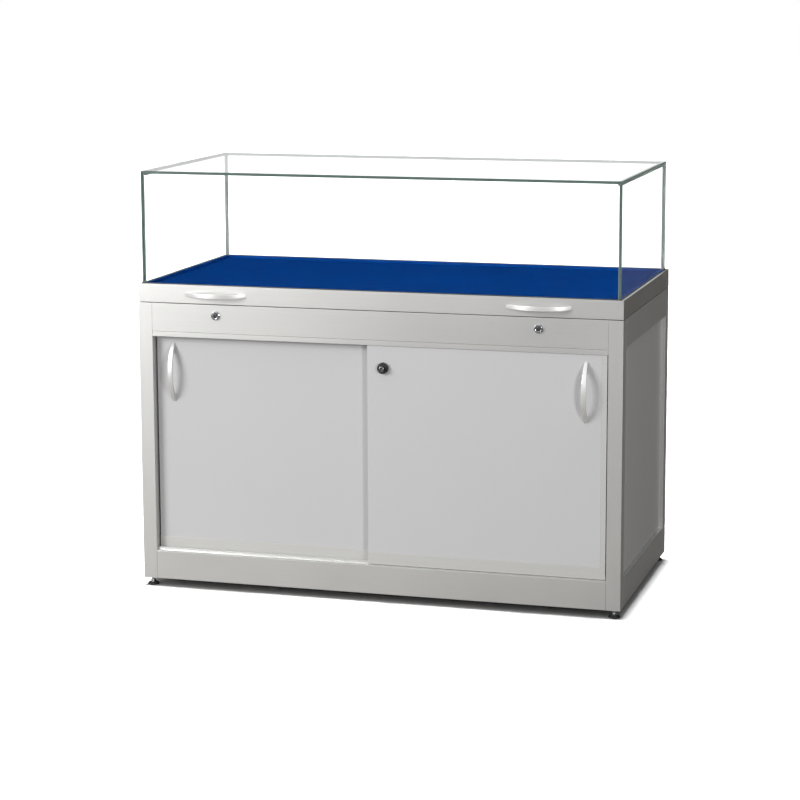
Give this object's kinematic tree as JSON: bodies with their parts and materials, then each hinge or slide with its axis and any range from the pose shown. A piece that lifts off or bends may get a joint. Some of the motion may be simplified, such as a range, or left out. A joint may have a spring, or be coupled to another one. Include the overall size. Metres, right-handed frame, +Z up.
{
  "type": "glass display showcase",
  "caption": "Shop display counter: hinged glass hood over a cloth-covered deck, on an aluminium-framed cupboard with sliding doors and levelling feet.",
  "frame": {"origin": "on the floor under the centre of the bounding box", "axes": "+X to the right seen from the front, +Y to the back, +Z up; the doors and hood handles face -Y"},
  "size_m": [1.2, 0.6356, 1.03],
  "materials": {
    "frame_aluminium": "satin anodised",
    "side_board": "matt laminate on board",
    "door_board": "matt laminate on board",
    "deck_wood": "raw fibreboard",
    "display_cloth": "deep blue brushed cloth",
    "glass": "clear float glass, ground edges",
    "satin_nickel": "satin nickel plate",
    "chrome": "bright chrome",
    "lock_steel": "nickel plated key plug",
    "zinc_steel": "zinc plated",
    "black_enamel": "black enamel",
    "black_foot": "moulded black rubber pad"
  },
  "bodies": {
    "base": {"post_front_left": "frame_aluminium", "post_front_right": "frame_aluminium", "post_rear_left": "frame_aluminium", "post_rear_right": "frame_aluminium", "fascia_rail": "frame_aluminium", "top_rail_rear": "frame_aluminium", "top_rail_left": "frame_aluminium", "top_rail_right": "frame_aluminium", "bottom_rail_front": "frame_aluminium", "bottom_rail_rear": "frame_aluminium", "bottom_rail_left": "frame_aluminium", "bottom_rail_right": "frame_aluminium", "door_track_top": "frame_aluminium", "door_track_bottom": "frame_aluminium", "side_panel_left": "side_board", "side_panel_right": "side_board", "back_panel": "side_board", "floor_panel": "side_board", "deck_board": "deck_wood", "deck_cloth": "display_cloth", "hood_lock_body_left": "chrome", "hood_lock_body_right": "chrome", "hinge_leaf_base": "zinc_steel", "strut_bracket_lower_left": "zinc_steel", "strut_bracket_lower_right": "zinc_steel"},
    "hood": {"hood_rail_front": "frame_aluminium", "hood_rail_rear": "frame_aluminium", "hood_rail_left": "frame_aluminium", "hood_rail_right": "frame_aluminium", "glass_front": "glass", "glass_rear": "glass", "glass_left": "glass", "glass_right": "glass", "glass_top": "glass", "hood_handle_left": "satin_nickel", "hood_handle_right": "satin_nickel", "hood_keeper_left": "zinc_steel", "hood_keeper_right": "zinc_steel", "strut_bracket_upper_left": "zinc_steel", "strut_bracket_upper_right": "zinc_steel", "hinge_leaf_hood": "zinc_steel"},
    "door_left": {"door_panel_left": "door_board", "door_shoe_left": "frame_aluminium", "door_handle_left": "satin_nickel"},
    "hood_lock_left": {"hood_lock_plug_left": "lock_steel"},
    "strut_cylinder_left": {"strut_cylinder_left": "black_enamel"},
    "strut_rod_left": {"strut_rod_left": "chrome"},
    "door_right": {"door_panel_right": "door_board", "door_shoe_right": "frame_aluminium", "door_handle_right": "satin_nickel", "door_edge_trim_right": "frame_aluminium", "door_lock_body": "black_enamel"},
    "hood_lock_right": {"hood_lock_plug_right": "lock_steel"},
    "strut_cylinder_right": {"strut_cylinder_right": "black_enamel"},
    "strut_rod_right": {"strut_rod_right": "chrome"},
    "door_lock_plunger": {"door_lock_plunger": "lock_steel"},
    "foot_front_left": {"foot_front_left": "black_foot"},
    "foot_front_right": {"foot_front_right": "black_foot"},
    "foot_rear_left": {"foot_rear_left": "black_foot"},
    "foot_rear_right": {"foot_rear_right": "black_foot"}
  },
  "joints": [
    {"name": "hood_hinge", "type": "hinge", "parent": "base", "child": "hood", "pos_m": [0, 0.31425, 0.71075], "axis": [-1, 0, 0], "range_deg": [0, 50]},
    {"name": "strut_pivot_left", "type": "hinge", "parent": "base", "child": "strut_cylinder_left", "pos_m": [-0.568, 0.24225, 0.56815], "axis": [-1, 0, 0], "range_deg": [0, 25]},
    {"name": "strut_stroke_left", "type": "slide", "parent": "strut_cylinder_left", "child": "strut_rod_left", "axis": [0, -0.4864, 0.8738], "range_m": [0, 0.1]},
    {"name": "strut_pivot_right", "type": "hinge", "parent": "base", "child": "strut_cylinder_right", "pos_m": [0.568, 0.24225, 0.56815], "axis": [-1, 0, 0], "range_deg": [0, 25]},
    {"name": "strut_stroke_right", "type": "slide", "parent": "strut_cylinder_right", "child": "strut_rod_right", "axis": [0, -0.4864, 0.8738], "range_m": [0, 0.1]},
    {"name": "door_left_slide", "type": "slide", "parent": "base", "child": "door_left", "axis": [1, 0, 0], "range_m": [0, 0.48]},
    {"name": "door_right_slide", "type": "slide", "parent": "base", "child": "door_right", "axis": [1, 0, 0], "range_m": [-0.48, 0]},
    {"name": "door_lock_push", "type": "slide", "parent": "door_right", "child": "door_lock_plunger", "axis": [0, 1, 0], "range_m": [0, 0.008]},
    {"name": "hood_lock_turn_left", "type": "hinge", "parent": "base", "child": "hood_lock_left", "pos_m": [-0.4, -0.28975, 0.684], "axis": [0, -1, 0], "range_deg": [-90, 0]},
    {"name": "hood_lock_turn_right", "type": "hinge", "parent": "base", "child": "hood_lock_right", "pos_m": [0.4, -0.28975, 0.684], "axis": [0, -1, 0], "range_deg": [-90, 0]},
    {"name": "foot_adjust_front_left", "type": "slide", "parent": "base", "child": "foot_front_left", "axis": [0, 0, 1], "range_m": [-0.006, 0.006]},
    {"name": "foot_adjust_front_right", "type": "slide", "parent": "base", "child": "foot_front_right", "axis": [0, 0, 1], "range_m": [-0.006, 0.006]},
    {"name": "foot_adjust_rear_left", "type": "slide", "parent": "base", "child": "foot_rear_left", "axis": [0, 0, 1], "range_m": [-0.006, 0.006]},
    {"name": "foot_adjust_rear_right", "type": "slide", "parent": "base", "child": "foot_rear_right", "axis": [0, 0, 1], "range_m": [-0.006, 0.006]}
  ],
  "couplings": [
    {"joint": "strut_pivot_left", "follows": "hood_hinge", "ratio": 0.49366},
    {"joint": "strut_stroke_left", "follows": "hood_hinge", "m_per_rad": 0.11346},
    {"joint": "strut_pivot_right", "follows": "hood_hinge", "ratio": 0.49366},
    {"joint": "strut_stroke_right", "follows": "hood_hinge", "m_per_rad": 0.11346}
  ]
}
